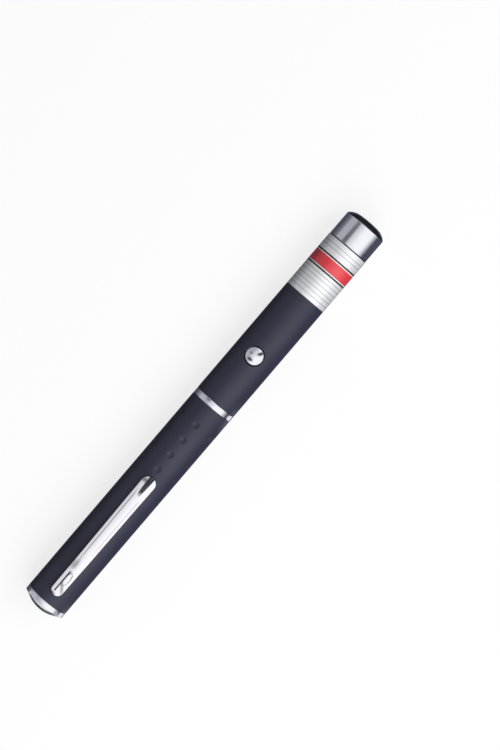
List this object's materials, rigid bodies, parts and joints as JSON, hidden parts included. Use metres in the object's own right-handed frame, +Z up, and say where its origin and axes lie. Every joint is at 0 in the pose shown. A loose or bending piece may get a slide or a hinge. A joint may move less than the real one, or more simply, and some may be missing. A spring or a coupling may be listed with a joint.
{
  "type": "laser pointer",
  "caption": "Pen-shaped laser pointer: black barrel that unscrews at a chrome ring, pocket clip, push button, blank foil label, chrome head and black domed nose.",
  "frame": {"origin": "under the middle of the length, on the surface that the pointer lies on; the barrel's axis is 7.1 mm above it", "axes": "+X along the barrel towards the beam exit, +Z up through the button, +Y to the left as seen along the beam"},
  "size_m": [0.1546, 0.0142, 0.0162],
  "materials": {
    "barrel_paint": "matte soft-touch black paint on a brass tube",
    "chrome_plate": "bright chrome plate, lathe marks under it",
    "polished_clip": "plated pressed steel, lightly hazed",
    "black_moulding": "black moulded plastic, satin",
    "label_foil": "silvery white glossy foil with a plain black and red band",
    "turned_brass": "turned, unplated",
    "clear_glass": "polished",
    "diode_can": "gold flashed",
    "tinned_wire": "tinned",
    "spring_steel": "nickel plated wire",
    "board_laminate": "green solder mask",
    "chip_moulding": "matte black epoxy",
    "capacitor_ceramic": "tan ceramic",
    "insulator_moulding": "natural nylon",
    "cell_can": "nickel plated steel can",
    "cell_print": "plain shrink sleeve"
  },
  "bodies": {
    "front_half": {"front_barrel": "barrel_paint", "label_wrap": "label_foil", "head_sleeve": "chrome_plate", "nose_cap": "black_moulding", "aperture_window": "clear_glass", "module_housing": "turned_brass", "laser_diode": "diode_can", "diode_leads": "tinned_wire", "lens_holder": "turned_brass", "collimating_lens": "clear_glass", "focus_spring": "spring_steel", "driver_board": "board_laminate", "driver_chip": "chip_moulding", "chip_resistors": "chip_moulding", "chip_capacitor": "capacitor_ceramic", "board_sleeve": "insulator_moulding", "contact_spring": "spring_steel", "switch_base": "black_moulding", "switch_cover": "tinned_wire", "switch_leads": "tinned_wire"},
    "button": {"button_cap": "chrome_plate", "switch_plunger": "black_moulding"},
    "cells": {"front_cell": "cell_can", "front_cell_jacket": "cell_print", "rear_cell": "cell_can", "rear_cell_jacket": "cell_print"},
    "rear_half": {"rear_barrel": "barrel_paint", "mid_ring": "chrome_plate", "thread_sleeve": "turned_brass", "tail_cap": "chrome_plate", "tail_plug": "black_moulding", "tail_spring": "spring_steel"},
    "clip": {"clip": "polished_clip"}
  },
  "joints": [
    {"name": "button_press", "type": "slide", "parent": "front_half", "child": "button", "axis": [0, 0, -1], "range_m": [0, 0.0003], "stiffness_N_per_m": 5000, "springref_m": -0.0001},
    {"name": "barrel_draw", "type": "slide", "parent": "front_half", "child": "cells", "axis": [-1, 0, 0], "range_m": [0, 0.007]},
    {"name": "barrel_unscrew", "type": "hinge", "parent": "cells", "child": "rear_half", "pos_m": [0, 0, 0.0071], "axis": [-1, 0, 0], "range_deg": [0, 2520]},
    {"name": "clip_flex", "type": "hinge", "parent": "rear_half", "child": "clip", "pos_m": [-0.06756, -0.00051, 0.01363], "axis": [0, -0.9969, -0.0785], "range_deg": [0, 2.5], "stiffness_Nm_per_rad": 4.4}
  ],
  "couplings": [
    {"joint": "barrel_unscrew", "follows": "barrel_draw", "rad_per_m": 6283.2}
  ]
}
